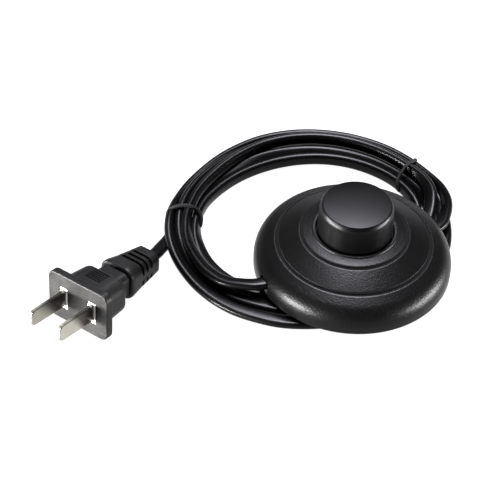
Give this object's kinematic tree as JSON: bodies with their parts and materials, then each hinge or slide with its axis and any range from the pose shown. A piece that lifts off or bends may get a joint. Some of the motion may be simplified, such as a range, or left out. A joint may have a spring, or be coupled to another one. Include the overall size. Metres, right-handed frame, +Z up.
{
  "type": "lamp foot switch",
  "caption": "Round stepped floor switch with a central push button, in line in a flat two-core cord that lies in a tied loose coil and ends in a two-blade plug.",
  "frame": {"origin": "on the floor, under the middle of the round head", "axes": "+Z up along the button's travel; +X along the cord's line through the head, towards the notch of the cord that ends in the plug"},
  "size_m": [0.1646, 0.1089, 0.0324],
  "materials": {
    "black_shell": "fine moulded texture",
    "button_black": "smooth satin",
    "base_black": "plain moulded",
    "rubber_black": "matte",
    "cord_black": "semi-gloss soft sheath",
    "plug_black": "moulded",
    "core_white": "plain",
    "blade_nickel": "plated, brushed along",
    "screw_steel": "zinc plated",
    "spring_steel": "bright wire",
    "contact_brass": "stamped",
    "case_grey": "plain moulded",
    "rotor_ivory": "plain moulded",
    "wire_brown": "smooth",
    "wire_white": "smooth"
  },
  "bodies": {
    "base": {"top_cover": "black_shell", "base_plate": "base_black", "rubber_feet": "rubber_black", "base_screws": "screw_steel", "terminal_screws": "screw_steel", "clamp_screws": "screw_steel", "switch_case": "case_grey", "switch_lid": "case_grey", "button_spring": "spring_steel", "contact_plug_side": "contact_brass", "contact_lamp_side": "contact_brass", "cord_clamp_plug_side": "base_black", "cord_clamp_lamp_side": "base_black", "plug_body": "plug_black", "plug_core": "core_white", "blade_left": "blade_nickel", "blade_right": "blade_nickel", "cord_coil": "cord_black", "tie_left": "rubber_black", "tie_right": "rubber_black", "cord_tail": "cord_black", "cord_lead_plug_side": "cord_black", "cord_lead_lamp_side": "cord_black", "cord_underrun": "cord_black", "neutral_wire": "wire_white", "live_wire_plug_side": "wire_brown", "live_wire_lamp_side": "wire_brown"},
    "button": {"push_button": "button_black", "plunger": "rotor_ivory"},
    "rotor": {"rotor": "rotor_ivory", "contact_bridge": "contact_brass"}
  },
  "joints": [
    {"name": "button_press", "type": "slide", "parent": "base", "child": "button", "axis": [0, 0, -1], "range_m": [0, 0.004], "stiffness_N_per_m": 1500, "springref_m": -0.003, "deforming": ["button_spring"]},
    {"name": "rotor_turn", "type": "hinge", "parent": "base", "child": "rotor", "pos_m": [0, 0, 0.0086], "axis": [0, 0, 1], "range_deg": [0, 45]}
  ],
  "couplings": [
    {"joint": "rotor_turn", "follows": "button_press", "rad_per_m": 196.35}
  ]
}
